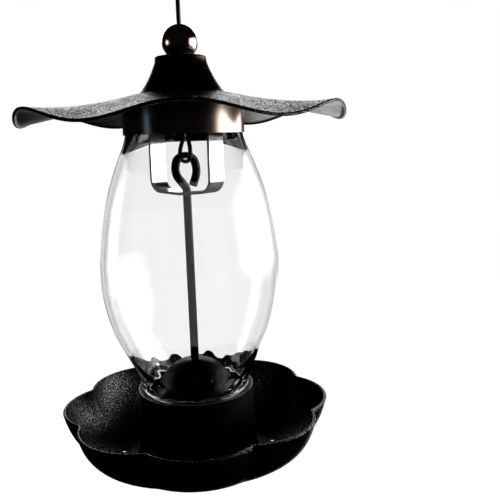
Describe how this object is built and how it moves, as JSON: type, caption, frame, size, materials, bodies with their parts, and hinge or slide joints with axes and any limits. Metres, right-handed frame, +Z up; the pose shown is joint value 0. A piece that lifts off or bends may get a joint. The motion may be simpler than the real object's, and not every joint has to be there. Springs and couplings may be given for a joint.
{
  "type": "hanging bird feeder",
  "caption": "Hanging seed feeder: egg-shaped glass jar under a wavy metal roof, over a petal tray, hung from an S-shaped hook by a looped cable through a ball.",
  "frame": {"origin": "the underside of the S-shaped hook's top bend, where it bears on a branch", "axes": "+Z up; the hook lies in the XZ plane; +X is to the right of someone who looks along +Y"},
  "size_m": [0.2326, 0.2326, 0.5397],
  "materials": {
    "hook_coat": "satin black powder coat",
    "cable_coat": "black coat over braided steel cable",
    "crimp_metal": "blackened crimp sleeve",
    "ball_gloss": "glossy dark bronze",
    "rubber": "matte black",
    "bell_bronze": "satin oil-rubbed bronze",
    "roof_coat": "fine textured black-bronze powder coat",
    "collar_bronze": "satin oil-rubbed bronze",
    "clear_glass": "clear polished",
    "zinc_strap": "bright zinc plate",
    "rod_steel": "gloss black on steel rod",
    "tray_coat": "wrinkled black powder coat"
  },
  "bodies": {
    "hook": {"s_hook": "hook_coat"},
    "feeder": {"hanging_cable": "cable_coat", "upper_ferrule": "crimp_metal", "lower_ferrule": "crimp_metal", "center_rod": "rod_steel", "neck_bracket": "zinc_strap", "rim_pads": "rubber", "jar": "clear_glass", "jar_gasket": "rubber", "port_base": "tray_coat", "seed_cone": "tray_coat", "tray": "tray_coat", "base_washer": "zinc_strap", "lock_washer": "zinc_strap"},
    "roof_unit": {"roof": "roof_coat", "roof_bell": "bell_bronze", "roof_collar": "collar_bronze", "lid_plate": "collar_bronze", "roof_grommet": "rubber"},
    "ball": {"ball_finial": "ball_gloss"},
    "nut": {"wing_nut": "zinc_strap"}
  },
  "joints": [
    {"name": "feeder_swing", "type": "hinge", "parent": "hook", "child": "feeder", "pos_m": [0, 0, -0.1347], "axis": [1, 0, 0], "range_deg": [-30, 30]},
    {"name": "roof_lift", "type": "slide", "parent": "feeder", "child": "roof_unit", "axis": [0, 0, 1], "range_m": [0, 0.034]},
    {"name": "ball_lift", "type": "slide", "parent": "roof_unit", "child": "ball", "axis": [0, 0, 1], "range_m": [0, 0.012]},
    {"name": "wing_nut_spin", "type": "hinge", "parent": "feeder", "child": "nut", "pos_m": [0, 0, -0.5272], "axis": [0, 0, 1], "continuous": true}
  ]
}
